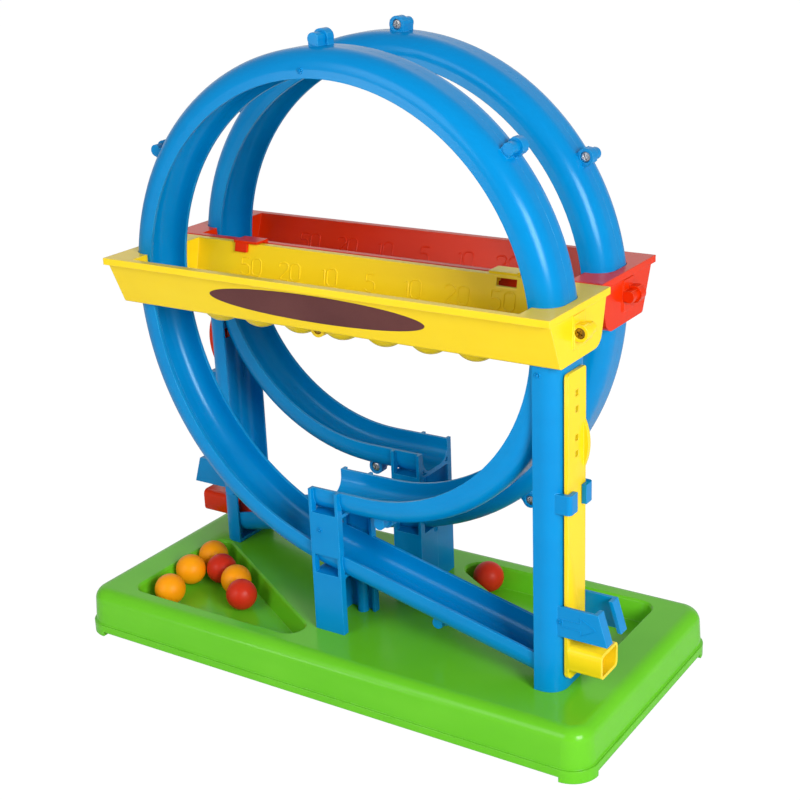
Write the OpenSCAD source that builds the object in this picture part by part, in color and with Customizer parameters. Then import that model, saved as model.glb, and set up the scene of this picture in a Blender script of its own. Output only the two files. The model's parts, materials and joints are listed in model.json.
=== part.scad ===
// Two-player loop-track ball game
// Millimetres, +Z up, origin at the middle of the rest plane, long side along X.
// The front player's set stands at -Y; the rear set is the same set turned half a turn about Z.

/* [Base] */
// Length of the base over its lip
base_length = 360; // [340:1:400]
// Width of the base over its lip
base_width = 174.5; // [170:0.5:190]
// Height of the base's top face
base_height = 30; // [26:0.5:40]
// Plan radius of the base's corners
base_corner = 16; // [14:0.5:24]
// Round of the base's top edge
base_fillet = 8; // [4:0.5:10]
// Draft of the base's side walls in degrees
base_draft = 4; // [0:0.5:6]
// Wall of the base moulding
base_wall = 2.2; // [1.6:0.1:3]
// Height of the corner feet
foot_height = 3; // [2:0.5:5]
// Radial thickness of the corner feet
foot_wall = 4; // [3:0.5:6]
// Height of the lip round the skirt
lip_height = 4.5; // [3:0.5:6]
// How far the lip stands out from the skirt
lip_proud = 1; // [0.5:0.1:2]

/* [Ball recess] */
// Depth of the sunken ball tray
recess_depth = 13; // [8:0.5:16]
// Distance from the base's end to the recess
recess_end_margin = 29; // [26:0.5:34]
// Distance from the base's long side to the recess
recess_side_margin = 17.25; // [15:0.25:20]
// Length of the recess triangle along X
recess_run = 153; // [140:1:156]
// Length of the recess triangle along Y
recess_reach = 93.5; // [86:0.5:96]
// Corner radius of the recess at its top
recess_corner = 9.5; // [8:0.5:12]
// Draft of the recess walls in degrees
recess_draft = 15; // [5:1:20]
// Chamfer of the recess's top edge
recess_edge = 1.2; // [0.6:0.1:2]

/* [Balls] */
// Diameter of a ball
ball_d = 20; // [18:0.5:20.5]

/* [Track] */
// Distance of each track's middle plane from the centre line
track_offset = 35.9; // [35:0.1:38]
// Outside width of the track
track_width = 33; // [31:0.1:34]
// Wall of the track half-shells
track_wall = 1.9; // [1.4:0.1:2.2]
// Depth of the track from its rim to its underside
track_depth = 15.6; // [14.5:0.1:16.5]
// Round of the track's lower edges
track_corner = 11; // [8:0.5:13]
// Radius of the upper arch at the track's rim
loop_rim_r = 128; // [120:1:136]
// Radius of the entry quarter at the rim
entry_rim_r = 149.5; // [140:0.5:160]
// Radius of the return quarter at the rim
return_rim_r = 108.5; // [100:0.5:112]
// Place of the loop's centre along X
loop_x = 2.8; // [0:0.1:5]
// Fall of the launching ramp in degrees
ramp_angle = 13; // [11:0.5:15]
// Height of the ramp's underside over the base at the post
ramp_clearance = 5.6; // [4:0.1:9]
// Length of the level run at the end of the return quarter
return_length = 38; // [34:0.5:42]

/* [Stand] */
// Width of the stand along X
stand_width = 20.5; // [18:0.5:26]
// How far the stand's plates stand out from the track
stand_proud = 2.6; // [2:0.1:4]
// Wall of the stand's plates and ribs
stand_wall = 2; // [1.5:0.1:2.4]
// Height of the pocket above the stand's lower plate
pocket_height = 12; // [8:0.5:14]

/* [Post] */
// Wall of the launcher post
post_wall = 1.4; // [1.2:0.1:2]
// How far the post's open side lies outside the loop's rim
post_step = 1.4; // [1:0.1:2]
// Depth of the post from its open side to its back
post_depth = 15.5; // [15:0.1:18]
// Round of the post's two back edges
post_corner = 11; // [8:0.5:11.5]
// Thickness of the post's floor
post_floor = 2.4; // [2:0.1:3]
// Height of the lever clips
clip_height = 11; // [8:0.5:14]
// Thickness of the clips' arms and hooks
clip_wall = 2.8; // [2:0.1:3.5]
// How far the clip hooks reach over the leaf
clip_hook = 5.5; // [3:0.5:7]
// Height of the arrow guards
guard_height = 18; // [14:0.5:20]
// Height of the arrow guards' lower edge over the base
guard_lift = 35; // [33:0.5:40]
// Thickness of the arrow guards
guard_wall = 1.8; // [1.5:0.1:2.5]
// Depth of the guards' end flanges
guard_flange = 7; // [5:0.5:8]

/* [Lever] */
// Width of the lever's leaf
lever_width = 20.8; // [19:0.2:22]
// How far the lever's middle plane lies outside the track's
lever_shift = 2.1; // [0:0.1:3]
// Thickness of the lever's leaf
lever_thick = 2.3; // [1.8:0.1:2.8]
// Swing of the lever arm in degrees
lever_swing = 17; // [12:0.5:20]
// Length of the fixed upper leaf above the flexing line
spring_length = 79; // [72:0.5:82]
// Distance from the tray's underside to the leaf's top
lever_drop = 5; // [4:0.5:8]
// Height of the leaf's lower end over the base
lever_lift = 7; // [5:0.5:8]
// Length of the finger grip
grip_length = 20; // [15:0.5:24]
// Width of the finger grip
grip_width = 20.8; // [18:0.2:22]
// Height of the finger grip
grip_height = 15.5; // [14:0.5:18]
// Wall of the finger grip
grip_wall = 1.9; // [1.4:0.1:2.5]
// Round of the finger grip's edges
grip_round = 3.5; // [2.6:0.1:5]
// Side of the square core holes in the leaf
hole_side = 3.6; // [3:0.1:4.2]
// Height of the bowed rib beside the holes
rib_proud = 2.8; // [2:0.1:4]
// Length of the bowed rib
rib_length = 27; // [20:0.5:30]
// Width of the bowed rib
rib_width = 2.6; // [2:0.1:4]

/* [Trays] */
// Height of the tray from its floor's underside to the rim
tray_depth = 30; // [27:0.5:34]
// Distance of the tray floor's underside below the loop's centre
tray_drop = 10.5; // [9:0.5:12]
// Wall of the trays
tray_wall = 2; // [1.5:0.1:2.4]
// Height of the rim band
rim_height = 4; // [3:0.5:6]
// How far the rim stands out
rim_proud = 1.3; // [0.8:0.1:2]
// Reach of the outer wall's top from the track's middle plane
tray_outer = 33; // [31:0.1:36]
// Lean of the outer wall in degrees
tray_lean = 23; // [15:0.5:25]
// Lean of the inner wall in degrees
tray_back_lean = 14; // [8:0.5:18]
// Round of the inner wall's lower corner
tray_round = 9; // [6:0.5:12]
// Gap between the two trays' rims
tray_gap = 1.8; // [1.4:0.1:3]
// Number of score cups in a tray
cup_count = 7; // [5:2:7]
// Outer radius of a score cup
cup_r = 13.5; // [12.5:0.1:14.2]
// Depth of the score cups below the tray floor's underside
cup_sink = 9.5; // [7:0.5:11]
// Width of the ball passage between cups and loop
passage_width = 26.5; // [24:0.5:28]
// Height of the ledge between cups and passage
ledge_height = 10; // [6:0.5:12]
// Width of the hook that joins the trays
hook_width = 17.5; // [12:0.5:22]
// Width of the hook's tongue
tongue_width = 9; // [6:0.5:11]
// Length of the hook's tongue
hook_drop = 5; // [4:0.5:8]
// Thickness of the hook
hook_wall = 1.7; // [1.4:0.1:2.4]

/* [Fasteners] */
// Diameter of a screw's shank
screw_d = 2.6; // [2:0.1:3]
// Diameter of a screw's head
screw_head_d = 5.6; // [5:0.1:6.2]
// Height of a screw's head
screw_head_h = 2; // [1.6:0.1:2.5]
// Radius of the screw tabs on the inner half-shells
tab_r = 4.8; // [4.5:0.1:5.5]
// Length of the screw tabs
tab_length = 6; // [5:0.5:8]
// Radius of the plain screw bosses
boss_r = 3.4; // [3:0.1:4]
// Length of the plain screw bosses
boss_length = 7; // [6:0.5:9]

/* [Hidden] */
$fn = 96;

// Running clearance between pieces that move past each other
run_gap = 0.3;
// Fit between pieces that are put together
fit_gap = 0.25;
// Overrun of cutting bodies past the faces they cut
over = 1;
// How far a round corner's arc stays inside the lines it joins
hair = 0.002;
// How far a recess corner's cone stands out of the sides it joins
corner_hair = 0.03;
// Clearance of a screw's shank in its boss, on the radius
screw_gap = 0.2;
// Length and width of a screw's cross slot, as shares of the head
slot_length_share = 0.6;
slot_width_share = 0.16;

// Colours
blue = [0, 0.6, 0.9];
yellow = [0.98, 0.85, 0.15];
red = [0.84, 0.17, 0.1];
green = [0.42, 0.8, 0.2];
orange = [1, 0.62, 0.05];
steel = [0.75, 0.75, 0.77];

// Track
track_r = track_width / 2;
channel_r = track_r - track_wall;
entry_x = loop_x - loop_rim_r + entry_rim_r;
return_x = loop_x + loop_rim_r - return_rim_r;

// Post
post_bore = track_r + run_gap;
post_r = post_bore + post_wall;
post_x = loop_x + loop_rim_r + post_step;
post_back = post_x + post_depth;
root_sink = 0.35;

// Ramp and loop heights follow from the ramp's low end at the post
ramp_start_x = entry_x - entry_rim_r * sin(ramp_angle);
ramp_rise = (post_x - ramp_start_x) * tan(ramp_angle);
ramp_low = base_height + ramp_clearance + track_depth / cos(ramp_angle);
loop_z = ramp_low + ramp_rise + entry_rim_r * cos(ramp_angle);
ramp_overrun = 3.5;
ramp_end_x = post_x + ramp_overrun;
ramp_length = (ramp_end_x - ramp_start_x) / cos(ramp_angle);

// Stand
stand_x = return_x - return_length;
stand_top = loop_z - return_rim_r;
stand_side = track_r + stand_proud;
stand_mid = stand_x + stand_width / 2;
stand_rim = ramp_low + (post_x - stand_mid) * tan(ramp_angle);
stand_overlap = 0.6;
stand_lower_top = stand_rim - track_depth / cos(ramp_angle) + stand_overlap;
stand_pocket_top = stand_lower_top + pocket_height;
stand_upper = stand_top - track_depth;
stand_boss_share = 0.6;
stand_boss_x = stand_x + stand_width * stand_boss_share;
stand_boss_t = stand_side - stand_wall - boss_r;
stand_boss_height = 26;

// Lever
lever_gap = 0.2;
lever_in = post_back + lever_gap;
lever_out = lever_in + lever_thick;
lever_mid = (lever_in + lever_out) / 2;
lever_half = lever_width / 2;
tray_base = loop_z - tray_drop;
lever_top = tray_base - lever_drop;
lever_low = base_height + lever_lift;
pivot_z = lever_top - spring_length;
lever_plane = track_offset + lever_shift;
lever_round = 2;
lever_low_round = 5;
grip_lift = 5.5;
grip_low = lever_low + grip_lift;
grip_mid = grip_low + grip_height / 2;
rib_rise = 35.5;
rib_z = pivot_z + rib_rise;
rib_r = (rib_length * rib_length / 4 + rib_proud * rib_proud) / (2 * rib_proud);
hole_step = 4.5;
snap_drops = [16.8, 41.7];
snap_levels = [for (drop = snap_drops) lever_top - drop];
snap_width = 4;
snap_height = 4.4;
snap_past = 2;
snap_reach = post_wall + lever_gap + snap_past;
snap_barb = 0.9;
striker_width = 10;
striker_height = 11;
striker_reach = 2.2;
striker_drop = 3;
striker_tip = post_back - post_wall - striker_reach;
striker_z = ramp_low - striker_drop;

// Guards and clips
guard_in = lever_half + run_gap;
guard_out = guard_in + guard_wall;
guard_low = base_height + guard_lift;
guard_top = guard_low + guard_height;
guard_end = 2.4;
clip_low = pivot_z + lever_thick;
clip_front = lever_out + run_gap;
clip_out = guard_in + clip_wall;
clip_round = 2.5;

// Trays
tray_top = tray_base + tray_depth;
tray_x = loop_x;
tray_inner = track_offset - tray_gap / 2 - rim_proud;
tray_end_gap = 1.4;
tray_half = loop_rim_r + track_depth + tray_end_gap + tray_wall;
trough_half = loop_rim_r + tray_wall / 2;
cup_row = loop_rim_r - passage_width;
cup_pitch = 2 * cup_row / cup_count;
cup_z = tray_base - cup_sink + cup_r;
tray_ear_offset = 3.6;
tray_ear_rise = 5.5;
tray_ear_drop = 4;
tray_ear_x = tray_half + tray_ear_offset;
tray_ear_z = loop_z + tray_ear_rise;
tray_low_ear = [tray_x - cup_pitch / 2, tray_base - tray_ear_drop];
pad_width = 13;
pad_height = 18;
pad_proud = 0.8;
hook_run = 88.7;
hook_past = 1;
hook_x = tray_x + hook_run;
window_width = 12.6;
window_height = 6.8;
window_drop = 1.4;

// Ears of the track, each as a place in side view and the direction it stands out
ear_offset = 3.8;
web_inset = 0.2;
ear_r = track_depth + ear_offset;
entry_ear_angle = 229.5;
ramp_ear_run = 79;
return_ear_run = 3;
arch_ears = [for (a = [41, 92.2, 147]) [at([loop_x, loop_z], loop_rim_r + ear_r, a), a]];
ramp_ear_foot = at([entry_x, loop_z], entry_rim_r + ear_r, 270 - ramp_angle);
lower_ears = [
    [at([entry_x, loop_z], entry_rim_r + ear_r, entry_ear_angle), entry_ear_angle],
    [ramp_ear_foot + ramp_ear_run * [cos(ramp_angle), -sin(ramp_angle)], 270 - ramp_angle],
    [[return_x + return_ear_run, loop_z - return_rim_r - ear_r], 270],
];
tray_ears = [
    [[tray_x + tray_ear_x, tray_ear_z], 0],
    [[tray_x - tray_ear_x, tray_ear_z], 180],
    [tray_low_ear, 270],
];

// Base screws, as places on the plan of the front set
post_boss_run = 9;
post_boss_side = 9.5;
post_boss = [post_x + post_boss_run, post_boss_side];
post_boss_height = 8;
base_screw_places = [
    for (side = [-1, 1]) [post_boss[0], -track_offset + side * post_boss[1]],
    for (side = [-1, 1]) [stand_boss_x, -track_offset + side * stand_boss_t],
];
base_screw_spare = 1.5;
base_screw_length = post_boss_height - base_screw_spare + base_wall;

// Recess outline at its top edge, anticlockwise, for the front set
recess_low = [-base_length / 2 + recess_end_margin, -base_width / 2 + recess_side_margin];
recess_corners = [recess_low, recess_low + [recess_run, 0], recess_low + [0, recess_reach]];
recess_floor = base_height - recess_depth;
recess_slope = recess_depth * tan(recess_draft);

// Balls, as places on the plan
ball_r = ball_d / 2;
ball_z = recess_floor + run_gap + ball_r;
launch_rim = striker_tip - run_gap - ball_r;
launch_depth = track_depth - track_wall - run_gap - ball_r;
launch_x = launch_rim + launch_depth * sin(ramp_angle);
launch_z = ramp_low - (launch_x - post_x) * tan(ramp_angle) - launch_depth * cos(ramp_angle);
recess_balls = [
    for (offset = [[18.4, 15.3], [11.6, 43.9], [11.2, 68], [48, 46.3], [29.1, 54.7], [64.2, 31.5],
            [111.7, 11.4]])
        recess_low + offset
];

// Plane geometry
function at(centre, r, a) = centre + r * [cos(a), sin(a)];
function unit(v) = v / norm(v);
function edge(p, i) = p[(i + 1) % len(p)] - p[i];
function edge_angle(p, i) = atan2(edge(p, i)[1], edge(p, i)[0]);
function left_of(v) = [-v[1], v[0]];
function before(p, i) = (i + len(p) - 1) % len(p);
function turn(p, i) = (edge_angle(p, i) - edge_angle(p, before(p, i)) + 720) % 360;
function bisector(a, b) = (a + b) / (1 + a * b);
function inset_point(p, i, d) =
    p[i] + d * bisector(left_of(unit(edge(p, before(p, i)))), left_of(unit(edge(p, i))));
// A convex anticlockwise outline moved inwards by d
function inset(p, d) = [for (i = [0 : len(p) - 1]) inset_point(p, i, d)];

// Convex outline with round corners
module rounded(p, radii) {
    cut = [for (i = [0 : len(p) - 1]) radii[i] * tan(turn(p, i) / 2)];
    polygon([for (i = [0 : len(p) - 1]) each [
        p[i] - cut[i] * unit(edge(p, before(p, i))),
        p[i] + cut[i] * unit(edge(p, i))]]);
    for (i = [0 : len(p) - 1])
        if (radii[i] > 0)
            translate(inset_point(p, i, radii[i]))
                circle(r = radii[i] - hair);
}

// Block whose sides carry a profile drawn as (distance outwards from the plan p, height)
module profiled_block(p, low, high) {
    translate([0, 0, low])
        linear_extrude(high - low)
            polygon(inset(p, -over));
    for (i = [0 : len(p) - 1]) {
        translate(p[(i + 1) % len(p)])
            rotate([90, 0, edge_angle(p, i) - 90])
                linear_extrude(norm(edge(p, i)))
                    children();
        translate(p[i])
            rotate([0, 0, edge_angle(p, before(p, i)) - 90])
                rotate_extrude(angle = turn(p, i))
                    children();
    }
}

// Side view of the front track: x along X, y up, z outwards from the track's middle plane
module side_view() {
    translate([0, -track_offset, 0])
        rotate([90, 0, 0])
            children();
}

// The rear player's set
module rear_set() {
    rotate([0, 0, 180])
        children();
}

// Base

// Skirt profile, inset by the wall for the hollow; the wall's line ends just inside the round
module base_profile(inset_by, low) {
    lean = tan(base_draft);
    side = base_corner - lip_proud - inset_by;
    top = base_height - inset_by;
    round_r = base_fillet - inset_by;
    round_z = top - round_r;
    round_x = side - lean * (round_z - foot_height) - round_r;
    rise = round_r * lean;
    polygon([
        [0, low],
        [side, low],
        [side, foot_height],
        [round_x + round_r - lean * rise, round_z + rise],
        [round_x, round_z + rise],
        [round_x, top],
        [0, top],
    ]);
    translate([round_x, round_z])
        intersection() {
            circle(r = round_r);
            translate([0, -round_r / 2])
                square(2 * round_r);
        }
}

module lip_profile() {
    translate([0, foot_height])
        square([base_corner, lip_height]);
}

module both_players() {
    children();
    rear_set()
        children();
}

// Everything behind a leaning face that looks along an angle, as far as a margin above and below
module behind(at, angle, low, high, low_r, high_r) {
    lean = (high_r - low_r) / (high - low) * over;
    translate(at)
        rotate([90, 0, angle])
            translate([0, 0, -base_length])
                linear_extrude(2 * base_length)
                    polygon([
                        [-base_length, low - over],
                        [low_r - lean, low - over],
                        [high_r + lean, high + over],
                        [-base_length, high + over],
                    ]);
}

// Pan with leaning sides round a plan; its corner cones are a hair larger, so they cross the sides
module pan(p, low, high, low_r, high_r) {
    margin = 2 * over;
    lean = (high_r - low_r) / (high - low) * margin;
    intersection() {
        translate([-base_length, -base_length, low])
            cube([2 * base_length, 2 * base_length, high - low]);
        union() {
            intersection_for (i = [0 : len(p) - 1])
                intersection() {
                    behind(p[i], edge_angle(p, i) - 90, low, high, low_r, high_r);
                    behind(p[i], edge_angle(p, i) - 90 - turn(p, i) / 2, low, high,
                        low_r * cos(turn(p, i) / 2), high_r * cos(turn(p, i) / 2));
                }
            for (corner = p)
                translate([corner[0], corner[1], low - margin])
                    cylinder(r1 = low_r - lean + corner_hair, r2 = high_r + lean + corner_hair,
                        h = high - low + 2 * margin);
        }
    }
}

// Ball recess with a broken top edge
module recess_cut() {
    plan = inset(recess_corners, recess_corner);
    lean = tan(recess_draft);
    brink = recess_corner - recess_edge * lean;
    pan(plan, recess_floor, base_height + over, recess_corner - recess_slope, recess_corner + over * lean);
    pan(plan, base_height - 2 * recess_edge, base_height + over, brink - recess_edge,
        brink + recess_edge + over);
}

// Wall round the recess below the top, which ends inside the top's own thickness
module recess_shell() {
    side = recess_corner + base_wall;
    pan(inset(recess_corners, recess_corner), recess_floor - base_wall, base_height - base_wall / 2,
        side - recess_slope, side);
}

module base() {
    half = [base_length / 2 - base_corner, base_width / 2 - base_corner];
    plan = [[-half[0], -half[1]], [half[0], -half[1]], half, [-half[0], half[1]]];
    color(green)
        difference() {
            union() {
                difference() {
                    profiled_block(plan, foot_height, base_height)
                        union() {
                            base_profile(0, foot_height);
                            lip_profile();
                        }
                    profiled_block(plan, foot_height - over, base_height - base_wall)
                        base_profile(base_wall, foot_height - over);
                }
                difference() {
                    both_players()
                        recess_shell();
                    both_players()
                        for (place = base_screw_places)
                            translate([place[0], place[1], 0])
                                cylinder(d = screw_head_d + 4 * screw_gap, h = base_height);
                }
                for (i = [0 : 3])
                    translate(plan[i])
                        rotate([0, 0, 180 + 90 * i])
                            rotate_extrude(angle = 90)
                                translate([base_corner - foot_wall, 0])
                                    square([foot_wall, foot_height]);
            }
            both_players() {
                recess_cut();
                for (place = base_screw_places)
                    translate([place[0], place[1], base_height - base_wall - over])
                        cylinder(d = screw_d + 4 * screw_gap, h = base_wall + 2 * over);
            }
        }
}

// Track

// Half of the track's section, drawn as (distance from the arc's centre, distance outwards)
module half_section(rim, r, reach, from) {
    depth = track_depth - track_r + r;
    corner = track_corner - track_r + r;
    translate([rim - reach, from])
        square([reach + depth - corner, r - from]);
    translate([rim - reach, from])
        square([reach + depth, r - corner - from]);
    translate([rim + depth - corner, r - corner])
        intersection() {
            circle(r = corner);
            square(corner);
        }
}

module arch_sweep(r, reach, from) {
    translate([loop_x, loop_z])
        rotate_extrude(angle = 180)
            half_section(loop_rim_r, r, reach, from);
}

module lower_sweep(r, reach, from, run_on) {
    translate([entry_x, loop_z])
        rotate([0, 0, 270 - ramp_angle]) {
            rotate_extrude(angle = ramp_angle - 90)
                half_section(entry_rim_r, r, reach, from);
            rotate([90, 0, 0])
                translate([0, 0, -ramp_length - run_on])
                    linear_extrude(ramp_length + run_on)
                        half_section(entry_rim_r, r, reach, from);
        }
    translate([return_x, loop_z]) {
        rotate([0, 0, 270])
            rotate_extrude(angle = 90)
                half_section(return_rim_r, r, reach, from);
        rotate([90, 0, 270])
            linear_extrude(return_length + run_on)
                half_section(return_rim_r, r, reach, from);
    }
}

// Screw ears: r and length of the ear, web back to the body that carries it
module ears(list, r, length) {
    for (ear = list)
        translate(ear[0]) {
            cylinder(r = r, h = length);
            rotate([0, 0, ear[1]])
                translate([-ear_offset - track_wall, -r + web_inset, web_inset])
                    cube([ear_offset + track_wall + r / 2, 2 * (r - web_inset),
                        length - 2 * web_inset]);
        }
}

module ear_bores(list, length, with_head) {
    for (ear = list)
        translate(ear[0]) {
            translate([0, 0, -over])
                cylinder(r = screw_d / 2 + screw_gap, h = length + (with_head ? 2 * over : 0));
            if (with_head)
                translate([0, 0, length - screw_head_h])
                    cylinder(r = screw_head_d / 2 + screw_gap, h = screw_head_h + over);
        }
}

// Half of the stand below the loop's open end
module stand_half() {
    height = stand_top - base_height;
    for (x = [stand_x, stand_x + stand_width - stand_wall])
        translate([x, base_height, channel_r])
            cube([stand_wall, height, stand_side - channel_r]);
    translate([stand_x, base_height, stand_side - stand_wall])
        cube([stand_width, stand_lower_top - base_height, stand_wall]);
    translate([stand_x, stand_pocket_top, stand_side - stand_wall])
        cube([stand_width, stand_upper - stand_pocket_top, stand_wall]);
    for (level = [stand_lower_top, stand_upper + stand_wall / 2])
        translate([stand_x, level - stand_wall, 0])
            cube([stand_width, stand_wall, stand_side]);
    translate([stand_x, base_height, 0])
        cube([stand_wall, stand_lower_top - base_height, stand_side]);
    translate([stand_boss_x, base_height, stand_boss_t])
        rotate([-90, 0, 0])
            cylinder(r = boss_r, h = stand_boss_height);
    translate([stand_boss_x - stand_wall / 2, base_height, stand_boss_t])
        cube([stand_wall, stand_boss_height, stand_side - stand_boss_t]);
}

module track_half(ear_radius, ear_length, with_head) {
    difference() {
        union() {
            lower_sweep(track_r, 0, 0, 0);
            stand_half();
            ears(lower_ears, ear_radius, ear_length);
        }
        lower_sweep(channel_r, over, -over, over);
        ear_bores(lower_ears, ear_length, with_head);
        translate([stand_boss_x, base_height - over, stand_boss_t])
            rotate([-90, 0, 0])
                cylinder(r = screw_d / 2 + screw_gap, h = stand_boss_height);
    }
}

module arch_half(ear_radius, ear_length, with_head) {
    difference() {
        union() {
            arch_sweep(track_r, 0, 0);
            ears(arch_ears, ear_radius, ear_length);
        }
        arch_sweep(channel_r, over, -over);
        ear_bores(arch_ears, ear_length, with_head);
    }
}

module track_outer() {
    color(blue)
        side_view()
            track_half(boss_r, boss_length, false);
}

module track_inner() {
    color(blue)
        side_view()
            mirror([0, 0, 1])
                track_half(tab_r, tab_length, true);
}

module arch_outer() {
    color(blue)
        side_view()
            arch_half(boss_r, boss_length, false);
}

module arch_inner() {
    color(blue)
        side_view()
            mirror([0, 0, 1])
                arch_half(tab_r, tab_length, true);
}

// Post

// Plan of the post, open towards -X, with half its width
module post_plan(half) {
    step = post_r - half;
    back = post_depth - step;
    corner = post_corner - step;
    intersection() {
        rounded([[-corner, -half], [back, -half], [back, half], [-corner, half]], [0, corner, corner, 0]);
        translate([0, -post_r - over])
            square([post_depth + over, 2 * (post_r + over)]);
    }
}

// Place along X just inside the post's outer face, at a distance from its middle plane
function post_root(side) = post_back - post_corner - root_sink
    + sqrt(pow(post_corner, 2) - pow(max(side - post_r + post_corner, 0), 2));

// Plan of one clip, from its root on the post
module clip_plan(root) {
    difference() {
        rounded([
            [root, clip_out - clip_wall - clip_hook],
            [clip_front + clip_wall, clip_out - clip_wall - clip_hook],
            [clip_front + clip_wall, clip_out],
            [root, clip_out],
        ], [0, 0, clip_round, 0]);
        translate([root - over, 0])
            square([clip_front - root + over, clip_out - clip_wall]);
    }
}

// Place of the leaf's outer face at full swing, at height z
function stop_x(z) =
    lever_mid + (pivot_z - z) * tan(lever_swing) + (lever_thick / 2 + run_gap) / cos(lever_swing);

// Guard in side view, from x to its slanted end
module guard_outline(x) {
    polygon([
        [is_undef(x) ? stop_x(guard_low) : x, guard_low],
        [stop_x(guard_low) + guard_end, guard_low],
        [stop_x(guard_top) + guard_end, guard_top],
        [is_undef(x) ? stop_x(guard_top) : x, guard_top],
    ]);
}

module guard(root) {
    translate([0, 0, guard_in])
        linear_extrude(guard_wall)
            guard_outline(root);
    translate([0, 0, guard_out - guard_flange])
        linear_extrude(guard_flange)
            guard_outline();
}

module post() {
    top = tray_base - fit_gap;
    color(blue)
        difference() {
            union() {
                translate([post_x, -track_offset, base_height]) {
                    linear_extrude(top - base_height)
                        difference() {
                            post_plan(post_r);
                            post_plan(post_bore);
                        }
                    linear_extrude(post_floor)
                        post_plan(post_r);
                    intersection() {
                        for (side = [-1, 1])
                            translate([post_boss[0] - post_x, side * post_boss[1], 0])
                                cylinder(r = boss_r, h = post_boss_height);
                        linear_extrude(post_boss_height)
                            post_plan(post_r);
                    }
                }
                translate([0, -lever_plane, clip_low])
                    linear_extrude(clip_height)
                        for (side = [-1, 1])
                            mirror([0, 1 - side, 0])
                                clip_plan(post_root(clip_out - side * lever_shift));
                side_view()
                    translate([0, 0, lever_shift])
                        for (side = [-1, 1])
                            mirror([0, 0, 1 - side])
                                guard(post_root(guard_out + side * lever_shift));
            }
            translate([post_back - post_wall - over, -track_offset, 0]) {
                for (z = snap_levels)
                    translate([0, -lever_shift - snap_width / 2 - run_gap,
                            z - snap_height / 2 - snap_barb - run_gap])
                        cube([post_wall + 2 * over, snap_width + 2 * run_gap,
                            snap_height + 2 * snap_barb + 2 * run_gap]);
                translate([-post_wall, -striker_width / 2 - over, striker_z - striker_height / 2 - over])
                    cube([2 * post_wall + 2 * over, striker_width + 2 * over, striker_height + 2 * over]);
            }
            for (side = [-1, 1])
                translate([post_boss[0], -track_offset + side * post_boss[1], base_height - over])
                    cylinder(r = screw_d / 2 + screw_gap, h = post_boss_height);
        }
}

// Lever

// Leaf in the plane it is moulded in: x across, y up
module leaf_outline(low, high, low_round, high_round) {
    rounded([[-lever_half, low], [lever_half, low], [lever_half, high], [-lever_half, high]],
        [low_round, low_round, high_round, high_round]);
}

// Stands a drawing made as (across, up) on the leaf's inner face and gives it a thickness
module on_leaf(depth) {
    translate([lever_in, -lever_plane, 0])
        rotate([90, 0, 90])
            linear_extrude(depth)
                children();
}

module lever_spring(tint) {
    color(tint)
        difference() {
            union() {
                on_leaf(lever_thick)
                    leaf_outline(pivot_z, lever_top, 0, lever_round);
                for (z = snap_levels)
                    translate([lever_in, -lever_plane, z])
                        snap_hook();
                bowed_rib();
            }
            on_leaf(lever_thick)
                for (z = snap_levels, step = [-hole_step, hole_step])
                    translate([-hole_side / 2, z + step - hole_side / 2])
                        square(hole_side);
            translate([lever_mid, -lever_plane, pivot_z])
                rotate([90, 0, 0])
                    cylinder(r = lever_thick / 2 + lever_gap, h = lever_width + 2 * over, center = true);
        }
}

// Tongue through the post's back with a barb above and below
module snap_hook() {
    rotate([90, 0, 0])
        linear_extrude(snap_width, center = true)
            polygon([
                [over, -snap_height / 2],
                [over, snap_height / 2],
                [-lever_gap - post_wall - lever_gap, snap_height / 2],
                [-lever_gap - post_wall - lever_gap, snap_height / 2 + snap_barb],
                [-snap_reach, snap_height / 2],
                [-snap_reach, -snap_height / 2],
                [-lever_gap - post_wall - lever_gap, -snap_height / 2 - snap_barb],
                [-lever_gap - post_wall - lever_gap, -snap_height / 2],
            ]);
}

// Bowed rib that stands out along one edge of the leaf
module bowed_rib() {
    translate([lever_out, -lever_plane + lever_half - rib_width, rib_z])
        rotate([-90, 0, 0])
            linear_extrude(rib_width)
                intersection() {
                    translate([rib_proud - rib_r, 0])
                        circle(r = rib_r);
                    translate([-lever_thick / 2, -rib_length / 2])
                        square([lever_thick / 2 + rib_proud, rib_length]);
                }
}

module lever_arm(tint) {
    grip_half = grip_width / 2;
    color(tint) {
        on_leaf(lever_thick)
            leaf_outline(lever_low, pivot_z, lever_low_round, 0);
        translate([lever_mid, -lever_plane, pivot_z])
            rotate([90, 0, 0])
                cylinder(r = lever_thick / 2, h = lever_width, center = true);
        on_leaf(lever_thick + grip_length)
            difference() {
                rounded([[-grip_half, grip_low], [grip_half, grip_low],
                    [grip_half, grip_low + grip_height], [-grip_half, grip_low + grip_height]],
                    [for (i = [0 : 3]) grip_round]);
                rounded(inset([[-grip_half, grip_low], [grip_half, grip_low],
                    [grip_half, grip_low + grip_height], [-grip_half, grip_low + grip_height]], grip_wall),
                    [for (i = [0 : 3]) grip_round - grip_wall]);
            }
        translate([striker_tip, -track_offset - striker_width / 2, striker_z - striker_height / 2])
            cube([lever_mid - striker_tip, striker_width, striker_height]);
    }
}

// Trays

// Walls of a tray in section: x outwards from the track's middle plane, y up
tray_section = [
    [-tray_inner + tray_depth * tan(tray_back_lean), tray_base],
    [tray_outer - tray_depth * tan(tray_lean), tray_base],
    [tray_outer, tray_top],
    [-tray_inner, tray_top],
];

// Extrudes a section drawn as (outwards, up) along X, about the tray's middle
module along_tray(from, to) {
    translate([tray_x + from, 0, 0])
        rotate([0, 90, 0])
            mirror([1, 0, 0])
                linear_extrude(to - from)
                    children();
}

module trough_section() {
    inner = inset(tray_section, tray_wall);
    rise = [0, tray_wall + over];
    rounded([inner[0], inner[1], inner[2] + rise, inner[3] + rise],
        [tray_round - tray_wall, tray_wall, 0, 0]);
}

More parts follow.
